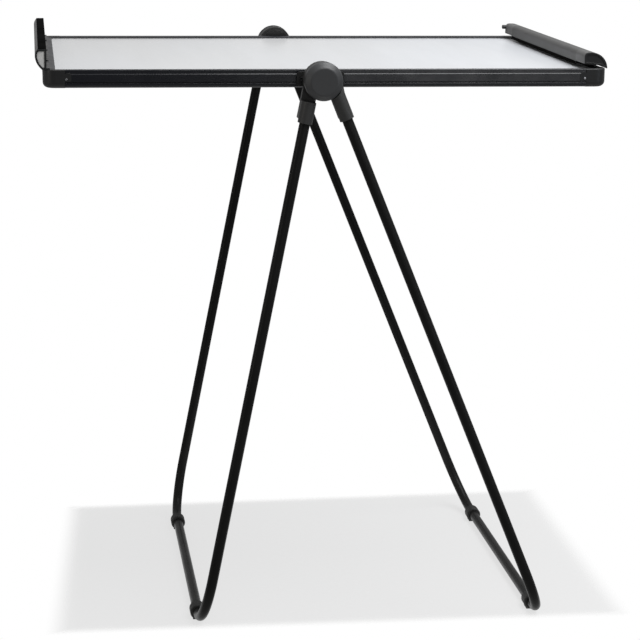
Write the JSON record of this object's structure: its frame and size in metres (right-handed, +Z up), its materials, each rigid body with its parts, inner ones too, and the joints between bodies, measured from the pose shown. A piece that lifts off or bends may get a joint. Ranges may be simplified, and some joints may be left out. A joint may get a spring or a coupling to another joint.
{
  "type": "folding presentation easel table",
  "caption": "Folding presentation easel with a framed white board turned level as a table, tube legs, side clamping knobs, pad clamp and marker tray.",
  "frame": {"origin": "on the floor under the middle of the whole object's box", "axes": "+X from the tray end to the clamp end, +Y across the board, +Z up"},
  "size_m": [1.0188, 0.8186, 1.07],
  "materials": {
    "frame_black": "black anodised aluminium extrusion, satin",
    "corner_plastic": "moulded black plastic, fine texture",
    "screw_black": "black zinc plated",
    "writing_surface": "glossy white dry-erase sheet",
    "core_board": "raw hardboard core",
    "backing_sheet": "grey backing sheet, satin",
    "cast_black": "black powder coated",
    "zinc_steel": "bright zinc plated",
    "nylon": "natural nylon",
    "knob_plastic": "moulded charcoal plastic, satin",
    "brass_insert": "machined brass",
    "arm_plastic": "glass filled black plastic, satin",
    "tube_black": "semi-gloss black powder coat",
    "glide_plastic": "black moulded rubber",
    "tray_black": "black extrusion, satin",
    "plug_grey": "light grey moulded plastic",
    "clamp_satin": "dark satin anodised aluminium",
    "cap_grey": "grey moulded plastic matched to the anodised bar",
    "grip_rubber": "black extruded rubber"
  },
  "bodies": {
    "front_leg": {"front_arm_far": "arm_plastic", "front_arm_near": "arm_plastic", "front_arm_screws": "screw_black", "front_crossbar": "tube_black", "front_glide_far": "glide_plastic", "front_glide_near": "glide_plastic", "front_tube_far": "tube_black", "front_tube_near": "tube_black"},
    "rear_leg": {"rear_arm_far": "arm_plastic", "rear_arm_near": "arm_plastic", "rear_arm_screws": "screw_black", "rear_crossbar": "tube_black", "rear_glide_far": "glide_plastic", "rear_glide_near": "glide_plastic", "rear_tube_far": "tube_black", "rear_tube_near": "tube_black"},
    "knob_near": {"knob_cap_near": "knob_plastic", "knob_insert_near": "brass_insert"},
    "knob_far": {"knob_cap_far": "knob_plastic", "knob_insert_far": "brass_insert"},
    "pad_clamp": {"clamp_bar": "clamp_satin", "clamp_grip_strip": "grip_rubber", "clamp_cap_near": "cap_grey", "clamp_cap_far": "cap_grey", "clamp_plug_near": "corner_plastic", "clamp_plug_far": "corner_plastic", "clamp_peg": "corner_plastic"},
    "board": {"bracket_screws": "screw_black", "clamp_base": "cast_black", "clamp_base_screws": "screw_black", "clamp_hinge_rod": "zinc_steel", "clamp_springs": "zinc_steel", "corner_clamp_end_far": "corner_plastic", "corner_clamp_end_near": "corner_plastic", "corner_rivets": "zinc_steel", "corner_screws": "screw_black", "corner_tray_end_far": "corner_plastic", "corner_tray_end_near": "corner_plastic", "friction_washers": "nylon", "hub_bracket_far": "cast_black", "hub_bracket_near": "cast_black", "marker_tray": "tray_black", "panel_back": "backing_sheet", "panel_core": "core_board", "panel_face": "writing_surface", "pivot_bolt_far": "zinc_steel", "pivot_bolt_near": "zinc_steel", "rail_clamp_end": "frame_black", "rail_far": "frame_black", "rail_near": "frame_black", "rail_tray_end": "frame_black", "tray_end_far": "corner_plastic", "tray_end_near": "corner_plastic", "tray_lip_trim": "grip_rubber", "tray_plug_far": "plug_grey", "tray_plug_near": "plug_grey", "tray_screws": "screw_black"}
  },
  "joints": [
    {"name": "leg_spread", "type": "hinge", "parent": "front_leg", "child": "rear_leg", "pos_m": [-0.0119, 0, 1.017], "axis": [0, 1, 0], "range_deg": [0, 33.1]},
    {"name": "board_tilt", "type": "hinge", "parent": "front_leg", "child": "board", "pos_m": [-0.0119, 0, 1.017], "axis": [0, 1, 0], "range_deg": [-79.2, 0]},
    {"name": "knob_near_turn", "type": "hinge", "parent": "board", "child": "knob_near", "pos_m": [-0.0119, -0.4, 1.017], "axis": [0, -1, 0], "range_deg": [0, 360]},
    {"name": "knob_far_turn", "type": "hinge", "parent": "board", "child": "knob_far", "pos_m": [-0.0119, 0.4, 1.017], "axis": [0, 1, 0], "range_deg": [0, 360]},
    {"name": "clamp_open", "type": "hinge", "parent": "board", "child": "pad_clamp", "pos_m": [0.5045, 0, 1.0369], "axis": [0, 1, 0], "range_deg": [0, 30], "stiffness_Nm_per_rad": 0.6, "springref_deg": -20.05}
  ]
}
